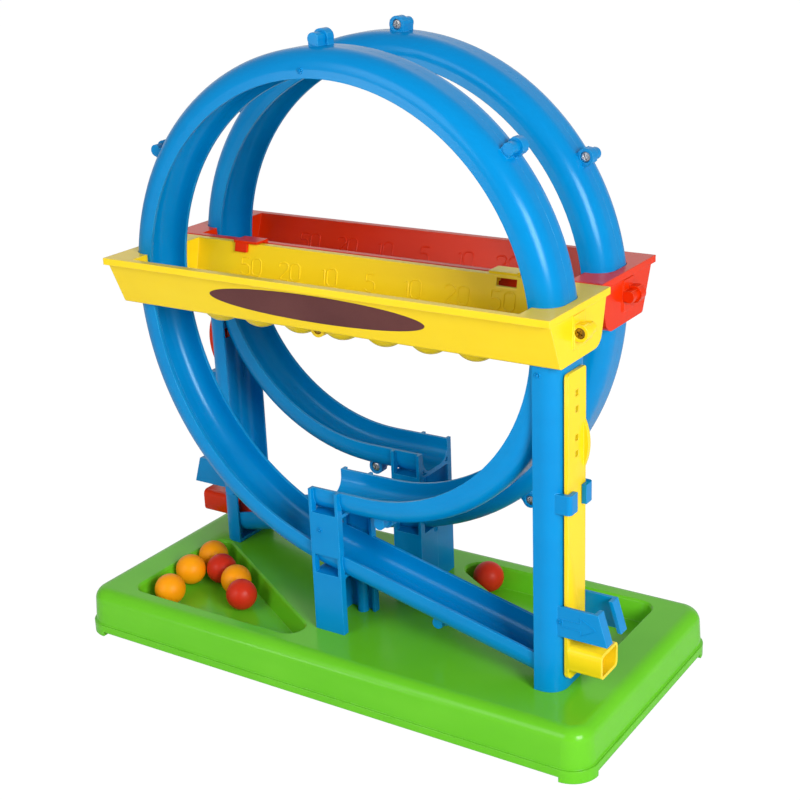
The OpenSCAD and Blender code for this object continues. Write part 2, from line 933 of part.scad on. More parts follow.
module tray_body() {
    along_tray(-tray_half, tray_half)
        rounded(tray_section, [tray_round, tray_wall, 0, 0]);
    along_tray(-tray_half - rim_proud, tray_half + rim_proud)
        translate([-tray_inner - rim_proud, tray_top - rim_height])
            square([tray_inner + tray_outer + 2 * rim_proud, rim_height]);
    cups(cup_r);
    for (side = [-1, 1])
        translate([tray_x + side * tray_half, tray_ear_z, 0])
            cube([2 * pad_proud, pad_height, pad_width], center = true);
}

module cups(r) {
    for (i = [0 : cup_count - 1])
        translate([tray_x + (i - (cup_count - 1) / 2) * cup_pitch, cup_z, 0])
            sphere(r = r);
}

// Hollows: the trough, the cups and the end boxes, which are open below
module tray_hollows() {
    along_tray(-trough_half, trough_half)
        trough_section();
    cups(cup_r - tray_wall);
    for (side = [-1, 1])
        end_hollow(side);
}

module end_hollow(side) {
    near = trough_half + tray_wall;
    far = tray_half - tray_wall;
    intersection() {
        along_tray(side > 0 ? near : -far, side > 0 ? far : -near)
            polygon([for (point = inset(tray_section, tray_wall)) point]);
        translate([tray_x - tray_half, 0, -tray_inner])
            cube([2 * tray_half, tray_top - tray_wall, tray_inner + tray_outer]);
    }
    translate([tray_x + side * (near + far) / 2, tray_base, 0])
        cube([far - near, 2 * tray_wall + over, 2 * (tray_section[1][0] - tray_wall)], center = true);
}

// Ledges between the cups and the passages
module ledges() {
    for (side = [-1, 1])
        intersection() {
            along_tray(side * cup_row - tray_wall / 2, side * cup_row + tray_wall / 2)
                rounded(tray_section, [tray_round, tray_wall, 0, 0]);
            translate([tray_x - tray_half, tray_base, -tray_inner])
                cube([2 * tray_half, ledge_height, tray_inner + tray_outer]);
        }
}

// Room for the loop and for balls that run past the tray
module loop_room() {
    reach = trough_half - loop_rim_r + 2 * tray_wall;
    r = track_r + fit_gap;
    swing = asin((tray_depth - tray_drop + 2 * hook_wall) / loop_rim_r);
    for (end = [0, 180])
        translate([loop_x, loop_z])
            rotate([0, 0, end - swing])
                rotate_extrude(angle = 2 * swing)
                    for (half = [0, 1])
                        mirror([0, half])
                            half_section(loop_rim_r, r, reach, -over);
    near = cup_row + tray_wall;
    far = loop_rim_r;
    for (side = [-1, 1])
        translate([tray_x + side * (near + far) / 2, tray_base, 0])
            cube([far - near, 4 * tray_wall, 2 * channel_r], center = true);
}

module tray_hook() {
    lean = tan(tray_back_lean);
    wall = tray_wall / cos(tray_back_lean);
    far = tray_inner - 2 * track_offset - wall - tray_wall * lean - run_gap;
    low = tray_top - hook_drop;
    run = hook_x - tray_x + tongue_width / 2;
    along_tray(run + hook_past - hook_width, run + hook_past)
        polygon([
            [-tray_inner + tray_wall, tray_top - over],
            [-tray_inner + tray_wall, tray_top + hook_wall],
            [far - hook_wall, tray_top + hook_wall],
            [far - hook_wall, tray_top + lever_gap],
            [-tray_inner - rim_proud, tray_top + lever_gap],
            [-tray_inner - rim_proud, tray_top - over],
        ]);
    along_tray(run - tongue_width, run)
        polygon([
            [far, tray_top + lever_gap],
            [far, tray_top + hook_wall - lever_gap],
            [far - hook_wall, tray_top + hook_wall - lever_gap],
            [far - hook_wall, tray_top + lever_gap],
            [far - hook_wall - hook_drop * lean, low],
            [far - hook_drop * lean, low],
        ]);
}

module hook_window() {
    translate([hook_x - window_width / 2, tray_top - window_drop - window_height,
            -tray_inner - rim_proud - over])
        cube([window_width, window_height, rim_proud + 2 * tray_wall + over]);
}

// Keeps the half of a tray on the positive side of the track's middle plane
module tray_half_space(side) {
    size = [2 * tray_half + 8 * tab_r, 2 * tray_top, 2 * track_offset];
    translate([tray_x, tray_base, side * size[2] / 2])
        cube(size, center = true);
}

module tray_outer_half(tint) {
    color(tint)
        side_view()
            difference() {
                union() {
                    intersection() {
                        union() {
                            difference() {
                                tray_body();
                                tray_hollows();
                            }
                            ledges();
                        }
                        tray_half_space(1);
                    }
                    ears(tray_ears, tab_r, tab_length);
                }
                loop_room();
                ear_bores(tray_ears, tab_length, true);
            }
}

module tray_inner_half(tint) {
    color(tint)
        side_view()
            difference() {
                union() {
                    intersection() {
                        union() {
                            difference() {
                                tray_body();
                                tray_hollows();
                            }
                            ledges();
                        }
                        tray_half_space(-1);
                    }
                    mirror([0, 0, 1])
                        ears(tray_ears, boss_r, boss_length);
                    tray_hook();
                }
                loop_room();
                mirror([0, 0, 1])
                    ear_bores(tray_ears, boss_length, false);
                hook_window();
            }
}

// Fasteners

// Pan-head screw along z, shank from the origin, head on the far side
module screw(length) {
    translate([0, 0, -length])
        cylinder(d = screw_d, h = length);
    difference() {
        cylinder(d = screw_head_d, h = screw_head_h);
        for (a = [0, 90])
            rotate([0, 0, a])
                translate([0, 0, screw_head_h])
                    cube([screw_head_d * slot_length_share, screw_head_d * slot_width_share, screw_head_h],
                        center = true);
    }
}

ear_screw_length = tab_length - screw_head_h + boss_length - 2 * over;

module track_screws() {
    color(steel)
        side_view()
            for (ear = concat(lower_ears, arch_ears))
                translate([ear[0][0], ear[0][1], -tab_length + screw_head_h])
                    mirror([0, 0, 1])
                        screw(ear_screw_length);
}

module tray_screws() {
    color(steel)
        side_view()
            for (ear = tray_ears)
                translate([ear[0][0], ear[0][1], tab_length - screw_head_h])
                    screw(ear_screw_length);
}

module base_screws() {
    color(steel)
        both_players()
            for (place = base_screw_places)
                translate([place[0], place[1], base_height - base_wall])
                    mirror([0, 0, 1])
                        screw(base_screw_length);
}

// Balls

module recess_ball(i, tint) {
    color(tint)
        translate([recess_balls[i][0], recess_balls[i][1], ball_z])
            sphere(r = ball_r);
}

module launch_ball(tint) {
    color(tint)
        translate([launch_rim, -track_offset, launch_z])
            sphere(r = ball_r);
}

base();
track_outer();  // front_track_outer
track_inner();  // front_track_inner
arch_outer();  // front_arch_outer
arch_inner();  // front_arch_inner
post();  // front_post
lever_spring(yellow);  // front_lever_spring
lever_arm(yellow);  // front_lever_arm
tray_outer_half(yellow);  // front_tray_outer
tray_inner_half(yellow);  // front_tray_inner
rear_set() track_outer();  // rear_track_outer
rear_set() track_inner();  // rear_track_inner
rear_set() arch_outer();  // rear_arch_outer
rear_set() arch_inner();  // rear_arch_inner
rear_set() post();  // rear_post
rear_set() lever_spring(red);  // rear_lever_spring
rear_set() lever_arm(red);  // rear_lever_arm
rear_set() tray_outer_half(red);  // rear_tray_outer
rear_set() tray_inner_half(red);  // rear_tray_inner
track_screws();  // front_track_screws
rear_set() track_screws();  // rear_track_screws
tray_screws();  // front_tray_screws
rear_set() tray_screws();  // rear_tray_screws
base_screws();
launch_ball(orange);  // orange_ball_launch
recess_ball(0, orange);  // orange_ball_front
recess_ball(1, orange);  // orange_ball_left
recess_ball(2, orange);  // orange_ball_rear
recess_ball(3, orange);  // orange_ball_right
rear_set() launch_ball(red);  // red_ball_launch
recess_ball(4, red);  // red_ball_middle
recess_ball(5, red);  // red_ball_near
rear_set() recess_ball(6, red);  // red_ball_far
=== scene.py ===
"""Dresses the two-player loop-track ball game in moulded plastic and sets it in a white studio."""

import json
import logging
import math
from dataclasses import dataclass, field, replace
from enum import Enum
from typing import Callable, Dict, List, Optional, Sequence, Tuple, Union

import bmesh
import bpy
from bmesh.types import BMesh
from bpy.types import ID, Material, Mesh, Node, NodeSocket, NodeTree, Object
from mathutils import Matrix, Vector


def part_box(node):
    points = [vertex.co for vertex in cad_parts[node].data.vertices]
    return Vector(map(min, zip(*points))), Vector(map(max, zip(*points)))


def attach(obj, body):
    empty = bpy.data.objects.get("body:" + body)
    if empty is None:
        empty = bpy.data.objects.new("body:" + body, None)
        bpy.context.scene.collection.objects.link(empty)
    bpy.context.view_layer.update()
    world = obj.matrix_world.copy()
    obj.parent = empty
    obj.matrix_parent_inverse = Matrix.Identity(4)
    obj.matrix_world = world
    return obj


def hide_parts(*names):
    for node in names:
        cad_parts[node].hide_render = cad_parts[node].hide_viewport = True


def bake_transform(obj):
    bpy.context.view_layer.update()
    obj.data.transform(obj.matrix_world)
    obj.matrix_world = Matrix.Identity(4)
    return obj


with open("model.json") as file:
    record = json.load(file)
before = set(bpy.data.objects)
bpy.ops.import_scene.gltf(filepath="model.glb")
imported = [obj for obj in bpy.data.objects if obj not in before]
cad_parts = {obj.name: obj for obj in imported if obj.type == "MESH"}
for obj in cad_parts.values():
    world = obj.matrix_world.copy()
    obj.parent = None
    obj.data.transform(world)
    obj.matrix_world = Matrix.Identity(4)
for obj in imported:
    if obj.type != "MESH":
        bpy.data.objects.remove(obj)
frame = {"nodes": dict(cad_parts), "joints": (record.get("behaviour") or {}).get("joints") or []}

log = logging.getLogger("loop_track_game")

MM = 0.001
SAME_POINT = 0.001 * MM
ON_PLANE = 0.0001 * MM
CREASE = math.radians(40)
FLAT = math.radians(0.5)
STRAIGHT = math.radians(179)
RELIEF_EDGE = 0.08 * MM
WHITE = (1.0, 1.0, 1.0, 1.0)

Colour = Tuple[float, float, float, float]
Place = Tuple[float, float, float]
Point = Tuple[float, float]
Line = Tuple[Sequence[Point], bool]
Feed = Union["Value", NodeSocket, float, int, str, Sequence[float]]
Key = Union[str, int]
Inputs = Optional[Dict[Key, Feed]]


def linear(red: int, green: int, blue: int) -> Colour:
    """Turns a screen colour, in parts of 255, into the linear colour that shaders use."""
    shares = [channel / 255 for channel in (red, green, blue)]
    return (*(s / 12.92 if s <= 0.04045 else ((s + 0.055) / 1.055) ** 2.4 for s in shares), 1.0)


def add_object(name: str, data: ID) -> Object:
    """Puts a new object into the scene."""
    piece = bpy.data.objects.new(name, data)
    bpy.context.scene.collection.objects.link(piece)
    return piece


def axes(place: Sequence[float], across: Vector, up: Vector, out: Vector) -> Matrix:
    """The matrix that takes x, y and z to three directions at a place."""
    return Matrix.Translation(place) @ Matrix((across, up, out)).transposed().to_4x4()


def operator(operation: str, swapped: bool = False) -> Callable[["Value", Feed], "Value"]:
    """Makes a method of Value out of a Math operation, with the other feed first where swapped."""
    order = -1 if swapped else 1
    return lambda *pair: pair[0].math(operation, *pair[::order])


class Value:
    """A socket that can be used in sums: each operator adds the Math node that works it out."""

    def __init__(self, tree: "Tree", socket: NodeSocket) -> None:
        """Keeps the socket and the tree it belongs to."""
        self.tree = tree
        self.socket = socket

    def math(self, operation: str, *operands: Feed) -> "Value":
        """Adds one Math node and returns its result."""
        return self.tree.value("ShaderNodeMath", dict(enumerate(operands)), operation=operation)

    __add__ = operator("ADD")
    __radd__ = operator("ADD", swapped=True)
    __sub__ = operator("SUBTRACT")
    __rsub__ = operator("SUBTRACT", swapped=True)
    __mul__ = operator("MULTIPLY")
    __truediv__ = operator("DIVIDE")
    __pow__ = operator("POWER")
    larger = operator("MAXIMUM")
    smaller = operator("MINIMUM")

    def exp(self) -> "Value":
        """e to the power of self."""
        return self.math("EXPONENT", self)

    def ramp(self, low: float, high: float) -> "Value":
        """0 up to low, 1 from high on and straight between them."""
        return ((self - low) / (high - low)).larger(0.0).smaller(1.0)


class Tree:
    """A node tree with one method that adds any node."""

    def __init__(self, tree: NodeTree) -> None:
        """Takes an empty tree."""
        self.tree = tree

    def node(self, kind: str, inputs: Inputs = None, **settings: object) -> Node:
        """Adds a node, sets it up and feeds its sockets.

        Args:
            kind: The node's type name.
            inputs: Values or links for its sockets, by name or place.
            **settings: Properties of the node, set first.

        Returns:
            The new node.
        """
        node = self.tree.nodes.new(kind)
        for name, setting in settings.items():
            setattr(node, name, setting)
        for key, feed in (inputs or {}).items():
            if isinstance(feed, Value):
                self.tree.links.new(feed.socket, node.inputs[key])
            elif isinstance(feed, NodeSocket):
                self.tree.links.new(feed, node.inputs[key])
            else:
                node.inputs[key].default_value = feed
        return node

    def value(self, kind: str, inputs: Inputs = None, output: Key = 0, **settings: object) -> Value:
        """Adds a node as node does and returns one of its outputs, ready for sums."""
        return Value(self, self.node(kind, inputs, **settings).outputs[output])

    def dot(self, first: Feed, second: Feed) -> Value:
        """The dot product of two vectors."""
        feeds = {0: first, 1: second}
        return self.value("ShaderNodeVectorMath", feeds, "Value", operation="DOT_PRODUCT")


class Surface(Tree):
    """The shader tree of one material."""

    def __init__(self, name: str) -> None:
        """Makes the material and empties its tree."""
        self.material = bpy.data.materials.new(name)
        self.material.use_nodes = True
        super().__init__(self.material.node_tree)
        self.tree.nodes.clear()

    def place(self) -> Value:
        """The point on the piece, in metres in the frame."""
        return self.value("ShaderNodeTexCoord", output="Object")

    def noise(self, at: Value, scale: float, detail: float, stretch: Optional[Place] = None) -> Value:
        """Adds a noise texture.

        Args:
            at: The point where it is read.
            scale: Features per metre.
            detail: Octaves.
            stretch: A scale for each axis, where the pattern is drawn out.

        Returns:
            Its grey value, about 0.5 on average.
        """
        if stretch is not None:
            at = self.value("ShaderNodeMapping", {"Vector": at, "Scale": stretch})
        return self.value("ShaderNodeTexNoise", {"Vector": at, "Scale": scale, "Detail": detail})

    def blend(self, share: Feed, first: Feed, second: Feed) -> Value:
        """Mixes a share of the second colour into the first."""
        return self.value("ShaderNodeMix", {0: share, 6: first, 7: second}, 2, data_type="RGBA")

    def rounded(self, radius: float) -> Tuple[Value, Value]:
        """Softens the piece's edges in the shading.

        Args:
            radius: Radius of the softened edge.

        Returns:
            The softened normal, and a value that is 0 on a flat face and rises on an edge.
        """
        soft = self.value("ShaderNodeBevel", {"Radius": radius}, samples=6)
        hard = self.value("ShaderNodeNewGeometry", output="Normal")
        return soft, 1.0 - self.dot(soft, hard)

    def bump(self, height: Value, full: float, **start: Value) -> Value:
        """Roughens the face's normal, or the one it starts from, by a share of a full height."""
        return self.value("ShaderNodeBump", {"Distance": full, "Height": height, **start})

    def close(self, **feeds: Feed) -> Material:
        """Ends the tree in a Principled shader.

        Args:
            **feeds: Its sockets by name, with _ for a space.

        Returns:
            The material.
        """
        inputs = {name.replace("_", " "): feed for name, feed in feeds.items()}
        shader = self.node("ShaderNodeBsdfPrincipled", inputs)
        self.node("ShaderNodeOutputMaterial", {"Surface": shader.outputs[0]})
        return self.material


@dataclass(frozen=True)
class Finish:
    """A material that is built once.

    Attributes:
        name: The finish's name.
        slot: The record's material slot, empty where there is none.
    """

    name: str
    slot: str

    def material(self) -> Material:
        """Builds the finish once and returns it."""
        if self.name in bpy.data.materials:
            return bpy.data.materials[self.name]
        s = Surface(self.name)
        return self.paint(s, s.place())

    def paint(self, s: Surface, at: Value) -> Material:
        """Fills the finish's tree, whose patterns are read at a point of the piece."""
        raise NotImplementedError


@dataclass(frozen=True)
class MouldedPlastic(Finish):
    """Glossy injection-moulded plastic with flow clouds, orange peel, softly broken edges and a painted
    highlight along them.

    Attributes:
        colour: The colour of a clean face.
        deep: The colour where the melt flowed thick.
        pale: The colour of the painted highlight along the edges.
        gloss: Roughness of a clean face.
        edge: Radius of the moulded edges.
        peel: Height of the orange peel.
        shine: How strongly a face mirrors.
        sheen: Tint of the mirrored light.
    """

    colour: Colour
    deep: Colour
    pale: Colour
    gloss: float = 0.3
    edge: float = 0.6 * MM
    peel: float = 0.004 * MM
    shine: float = 0.26
    sheen: Colour = WHITE

    def relief(self) -> "MouldedPlastic":
        """The same finish with the crisp edges of a low relief."""
        return replace(self, name=f"{self.name}_relief", edge=RELIEF_EDGE)

    def paint(self, s: Surface, at: Value) -> Material:
        """Fills the finish's tree."""
        clouds = s.noise(at, 22.0, 3.0)
        flow = s.noise(at, 14.0, 2.0, (1.0, 1.0, 7.0))
        peel = s.noise(at, 620.0, 2.0)
        haze = s.noise(at, 75.0, 4.0)
        scuffs = s.noise(at, 90.0, 3.0, (1.0, 9.0, 1.6)).ramp(0.68, 0.8)
        soft, corner = s.rounded(self.edge)
        # Painted highlight: the edges are lightened towards the edge highlight colour, in patches; the
        # same mask makes them a little rougher.
        edge_highlight_mask = (corner * 3.0).smaller(0.8) * haze.ramp(0.3, 0.6)
        body = s.blend((clouds * 0.6 + flow * 0.4).ramp(0.3, 0.72), self.colour, self.deep)
        colour = s.blend(edge_highlight_mask, body, self.pale)
        roughness = self.gloss + (haze - 0.5) * 0.06 + scuffs * 0.04 + edge_highlight_mask * 0.06
        height = peel * 0.8 + haze * 0.2 - scuffs * 0.1
        normal = s.bump(height, self.peel, Normal=soft)
        return s.close(
            Base_Color=colour, Roughness=roughness, Normal=normal, Specular_IOR_Level=self.shine,
            Specular_Tint=self.sheen)


@dataclass(frozen=True)
class BallPlastic(Finish):
    """Satin plastic of the blown balls, polished in patches where they rub.

    Attributes:
        colour: The ball's colour.
        deep: The colour in its clouds.
        satin: Roughness of an unrubbed face.
        polish: How much smoother a rubbed face is.
        grain: Height of its grain.
        shine: How strongly a face mirrors.
    """

    colour: Colour
    deep: Colour
    satin: float = 0.46
    polish: float = 0.16
    grain: float = 0.02 * MM
    shine: float = 0.2

    def paint(self, s: Surface, at: Value) -> Material:
        """Fills the finish's tree."""
        clouds = s.noise(at, 60.0, 4.0)
        grain = s.noise(at, 1500.0, 2.0)
        rubbed = s.noise(at, 130.0, 3.0).ramp(0.5, 0.7)
        colour = s.blend(clouds.ramp(0.35, 0.75), self.colour, self.deep)
        normal = s.bump(grain + clouds * 0.4, self.grain)
        roughness = self.satin - rubbed * self.polish
        return s.close(
            Base_Color=colour, Roughness=roughness, Normal=normal, Specular_IOR_Level=self.shine)


@dataclass(frozen=True)
class ZincSteel(Finish):
    """Bright zinc-plated steel of the screws.

    Attributes:
        colour: The plating's colour.
        dull: The colour of its stains.
        edge: Radius of its worn edges.
        grain: Height of its grain.
    """

    name: str = "zinc_steel"
    slot: str = "screw_steel"
    colour: Colour = linear(196, 198, 202)
    dull: Colour = linear(138, 136, 132)
    edge: float = 0.2 * MM
    grain: float = 0.01 * MM

    def paint(self, s: Surface, at: Value) -> Material:
        """Fills the finish's tree."""
        stains = s.noise(at, 420.0, 4.0)
        grain = s.noise(at, 3000.0, 2.0)
        soft, corner = s.rounded(self.edge)
        colour = s.blend(stains.ramp(0.45, 0.75), self.colour, self.dull)
        normal = s.bump(grain, self.grain, Normal=soft)
        roughness = 0.28 + stains * 0.2 - corner * 0.2
        return s.close(Base_Color=colour, Metallic=1.0, Roughness=roughness, Normal=normal)


@dataclass(frozen=True)
class PrintedFilm(Finish):
    """Dark satin film of the blank label, with the dots of its print.

    Attributes:
        colour: The print's colour.
        deep: The colour in its darker patches.
        satin: Roughness of the smoothest face.
        fibre: Height of its fibres.
        shine: How strongly a face mirrors.
    """

    name: str = "brown_film"
    slot: str = ""
    colour: Colour = linear(108, 62, 60)
    deep: Colour = linear(92, 50, 50)
    satin: float = 0.36
    fibre: float = 0.01 * MM
    shine: float = 0.15

    def paint(self, s: Surface, at: Value) -> Material:
        """Fills the finish's tree."""
        patches = s.noise(at, 30.0, 3.0)
        dots = s.value("ShaderNodeTexVoronoi", {"Vector": at, "Scale": 2200.0})
        fibres = s.noise(at, 500.0, 4.0)
        tone = (patches.ramp(0.3, 0.75) * 0.7 + dots.ramp(0.2, 0.7) * 0.3).smaller(1.0)
        colour = s.blend(tone, self.colour, self.deep)
        normal = s.bump(fibres, self.fibre)
        roughness = self.satin + fibres * 0.1
        return s.close(
            Base_Color=colour, Roughness=roughness, Normal=normal, Specular_IOR_Level=self.shine)


# The third colour of each plastic is the painted highlight along its edges.
GREEN = MouldedPlastic(
    "green_moulding", "green_plastic",
    linear(108, 200, 38), linear(98, 192, 30), linear(140, 218, 84), gloss=0.22, edge=0.9 * MM)
BLUE = MouldedPlastic(
    "blue_moulding", "blue_plastic",
    linear(0, 137, 203), linear(0, 130, 197), linear(60, 186, 246), gloss=0.22,
    sheen=(0.6, 0.88, 1.0, 1.0))
YELLOW = MouldedPlastic(
    "yellow_moulding", "yellow_plastic",
    linear(250, 216, 30), linear(247, 210, 22), linear(255, 238, 120), gloss=0.24)
RED = MouldedPlastic(
    "red_moulding", "red_plastic",
    linear(230, 52, 4), linear(222, 44, 3), linear(244, 92, 50), gloss=0.24, shine=0.2)
ORANGE_BALL = BallPlastic("orange_ball_skin", "orange_ball", linear(255, 164, 8), linear(252, 150, 4))
RED_BALL = BallPlastic("red_ball_skin", "red_ball", linear(212, 50, 24), linear(198, 40, 20))
STEEL = ZincSteel()
GOLDEN_STEEL = ZincSteel("yellow_zinc_steel", "screw_steel", linear(176, 140, 62), linear(112, 82, 34))
FILM = PrintedFilm()


class Shape(Tree):
    """A Geometry Nodes tree with named inputs, which ends in real, dressed geometry."""

    def __init__(self, name: str, sizes: Sequence[str]) -> None:
        """Makes the tree with a geometry, a material and one number for each size."""
        super().__init__(bpy.data.node_groups.new(name, "GeometryNodeTree"))
        sockets = [("Geometry", "INPUT", "Geometry"), ("Material", "INPUT", "Material")]
        sockets += [(size, "INPUT", "Float") for size in sizes]
        sockets.append(("Geometry", "OUTPUT", "Geometry"))
        for label, way, kind in sockets:
            self.tree.interface.new_socket(label, in_out=way, socket_type=f"NodeSocket{kind}")
        self.source = self.node("NodeGroupInput")

    def size(self, name: str) -> Value:
        """One of the tree's named inputs."""
        return Value(self, self.source.outputs[name])

    def vector(self, x: Feed = 0.0, y: Feed = 0.0, z: Feed = 0.0) -> Value:
        """A vector made of three numbers."""
        return self.value("ShaderNodeCombineXYZ", {0: x, 1: y, 2: z})

    def lift(self, shape: Value, height: Value) -> Value:
        """Moves a shape up."""
        offset = self.vector(z=height)
        return self.value("GeometryNodeTransform", {"Geometry": shape, "Translation": offset})

    def press(self, shape: Value, share: Value) -> Value:
        """Presses a shape to a share of its height."""
        flat = self.vector(1.0, 1.0, share)
        return self.value("GeometryNodeTransform", {"Geometry": shape, "Scale": flat})

    def circle(self, corners: int, radius: Value) -> Value:
        """A round line."""
        return self.value("GeometryNodeCurvePrimitiveCircle", {"Resolution": corners, "Radius": radius})

    def sweep(self, line: Value, section: Value, caps: bool = False) -> Value:
        """Draws a section along a line, with its ends closed where caps says so."""
        feeds = {"Curve": line, "Profile Curve": section, "Fill Caps": caps}
        return self.value("GeometryNodeCurveToMesh", feeds)

    def smooth(self, shape: Value) -> Value:
        """Shades a shape smooth."""
        return self.value("GeometryNodeSetShadeSmooth", {"Geometry": shape})

    def join(self, *shapes: Value) -> Value:
        """Puts shapes together."""
        node = self.node("GeometryNodeJoinGeometry")
        for shape in shapes:
            self.tree.links.new(shape.socket, node.inputs[0])
        return Value(self, node.outputs[0])

    def at_points(self, shape: Value) -> Value:
        """Sets a shape on each incoming point, with its z along the point's axis.

        Args:
            shape: What is repeated.

        Returns:
            The instances.
        """
        axis, turn = (
            self.value("GeometryNodeInputNamedAttribute", {"Name": name}, data_type=kind)
            for kind, name in (("FLOAT_VECTOR", "axis"), ("FLOAT", "turn")))
        aligned = self.value("FunctionNodeAlignRotationToVector", {"Vector": axis}, axis="Z")
        spin = self.value("FunctionNodeAxisAngleToRotation", {"Axis": (0.0, 0.0, 1.0), "Angle": turn})
        rotation = self.value(
            "FunctionNodeRotateRotation", {0: aligned, 1: spin}, rotation_space="LOCAL")
        feeds = {"Points": self.size("Geometry"), "Instance": shape, "Rotation": rotation}
        return self.value("GeometryNodeInstanceOnPoints", feeds)

    def close(self, shape: Value) -> None:
        """Ends the tree in real geometry with its material."""
        real = self.value("GeometryNodeRealizeInstances", {"Geometry": shape})
        dressed = self.value(
            "GeometryNodeSetMaterial", {"Geometry": real, "Material": self.size("Material")})
        self.node("NodeGroupOutput", {0: dressed})

    def grow(self, name: str, seed: Mesh, material: Material, **sizes: float) -> Object:
        """Runs the tree on a mesh and keeps the result as a plain mesh.

        Args:
            name: The new piece's name.
            seed: The mesh that the tree starts from.
            material: The piece's finish.
            **sizes: The tree's inputs by name, with _ for a space.

        Returns:
            The new piece.
        """
        piece = add_object(name, seed)
        modifier = piece.modifiers.new("grow", "NODES")
        modifier.node_group = self.tree
        keys = {item.name: item.identifier for item in self.tree.interface.items_tree
                if item.in_out == "INPUT"}
        modifier[keys["Material"]] = material
        for size, amount in sizes.items():
            modifier[keys[size.replace("_", " ")]] = amount
        bpy.context.view_layer.update()
        graph = bpy.context.evaluated_depsgraph_get()
        result = bpy.data.meshes.new_from_object(piece.evaluated_get(graph))
        piece.modifiers.clear()
        piece.data = result
        result.name = name
        result.materials.clear()
        result.materials.append(material)
        for polygon in result.polygons:
            polygon.material_index = 0
        return piece


def screw_shape() -> Shape:
    """Builds the tree of a cross-recessed pan-head screw on each point."""
    dome = 0.3
    arm_reach = 1.25
    core_share = 0.82
    coil_share = 0.86
    thread_turns = 7.0
    thread_length = 0.9
    thread_foot = 0.95
    t = Shape(
        "pan_head_screws",
        ["Head Radius", "Head Height", "Shank Radius", "Shank Length", "Recess Width", "Recess Depth"])
    radius, height = t.size("Head Radius"), t.size("Head Height")
    shank, length = t.size("Shank Radius"), t.size("Shank Length")
    width, depth = t.size("Recess Width"), t.size("Recess Depth")
    head = t.value(
        "GeometryNodeMeshCylinder",
        {"Vertices": 40, "Side Segments": 4, "Fill Segments": 6, "Radius": radius, "Depth": height},
        fill_type="TRIANGLE_FAN")
    head = t.lift(head, height / 2.0)
    place = t.value("GeometryNodeInputPosition")
    parts = t.node("ShaderNodeSeparateXYZ", {0: place})
    x, y, z = (Value(t, parts.outputs[i]) for i in range(3))
    out = ((x * x + y * y) ** 0.5) / radius
    up = z / height
    drop = (out ** 5.0) * (up ** 2.0) * height * -dome
    head = t.value("GeometryNodeSetPosition", {"Geometry": head, "Offset": t.vector(z=drop)})
    for along, across in ((radius * arm_reach, width), (width, radius * arm_reach)):
        arm = t.value("GeometryNodeMeshCube", {"Size": t.vector(along, across, depth * 2.0)})
        head = t.value(
            "GeometryNodeMeshBoolean", {0: head, 1: t.lift(arm, height)},
            operation="DIFFERENCE", solver="EXACT")
    core = t.value(
        "GeometryNodeMeshCylinder",
        {"Vertices": 24, "Radius": shank * core_share, "Depth": length})
    core = t.lift(core, length / -2.0)
    middle = shank * coil_share
    coil = t.value(
        "GeometryNodeCurveSpiral",
        {"Resolution": 20, "Rotations": thread_turns, "Start Radius": middle, "End Radius": middle,
         "Height": length * thread_length})
    thread = t.sweep(coil, t.circle(6, shank * (1.0 - coil_share)))
    thread = t.lift(thread, length * -thread_foot)
    t.close(t.at_points(t.join(head, core, thread)))
    return t


def ball_shape() -> Shape:
    """Builds the tree of a ball with a low mould seam, on each point."""
    t = Shape("seamed_ball", ["Radius", "Seam Height", "Seam Width"])
    radius = t.size("Radius")
    ball = t.value("GeometryNodeMeshIcoSphere", {"Radius": radius, "Subdivisions": 6})
    place = t.value("GeometryNodeInputPosition")
    parts = t.node("ShaderNodeSeparateXYZ", {0: place})
    off = Value(t, parts.outputs[2]) / t.size("Seam Width")
    ridge = (off * off * -1.0).exp() * t.size("Seam Height") / radius
    grow = t.value("ShaderNodeVectorMath", {0: place, "Scale": ridge}, operation="SCALE")
    ball = t.value("GeometryNodeSetPosition", {"Geometry": ball, "Offset": grow})
    t.close(t.at_points(t.smooth(ball)))
    return t


def bead_shape() -> Shape:
    """Builds the tree of a raised bead that follows each line of a flat drawing."""
    t = Shape("raised_bead", ["Half Width", "Rise", "Corner Radius"])
    line = t.value("GeometryNodeMeshToCurve", {"Mesh": t.size("Geometry")})
    line = t.value(
        "GeometryNodeFilletCurve",
        {"Curve": line, "Count": 5, "Radius": t.size("Corner Radius"), "Limit Radius": True},
        mode="POLY")
    bead = t.sweep(line, t.circle(10, t.size("Half Width")), caps=True)
    t.close(t.smooth(t.press(bead, t.size("Rise") / t.size("Half Width"))))
    return t


def mark_shape() -> Shape:
    """Builds the tree of a moulding gate's mark, a low ring round a nub, on each point."""
    t = Shape("gate_marks", ["Radius", "Rim", "Rise"])
    rim = t.sweep(t.circle(40, t.size("Radius")), t.circle(8, t.size("Rim")))
    nub = t.value(
        "GeometryNodeMeshUVSphere", {"Segments": 16, "Rings": 8, "Radius": t.size("Rim") * 2.0})
    mark = t.press(t.join(rim, nub), t.size("Rise") / t.size("Rim"))
    t.close(t.at_points(t.smooth(mark)))
    return t


@dataclass
class Workshop:
    """The trees that more than one piece grows from."""

    screws: Shape = field(default_factory=screw_shape)
    balls: Shape = field(default_factory=ball_shape)
    beads: Shape = field(default_factory=bead_shape)
    marks: Shape = field(default_factory=mark_shape)


class Player(Enum):
    """The two players' halves; the rear half is the front half after half a turn."""

    FRONT = "front"
    REAR = "rear"

    def turn(self) -> Matrix:
        """The turn that takes the front half to this one."""
        return Matrix.Rotation(0.0 if self is Player.FRONT else math.pi, 4, "Z")

    def tint(self) -> MouldedPlastic:
        """The plastic of this player's tray and lever."""
        return YELLOW if self is Player.FRONT else RED

    def node(self, part: str) -> str:
        """The CAD node of one of this player's parts."""
        return f"{self.value}_{part}"


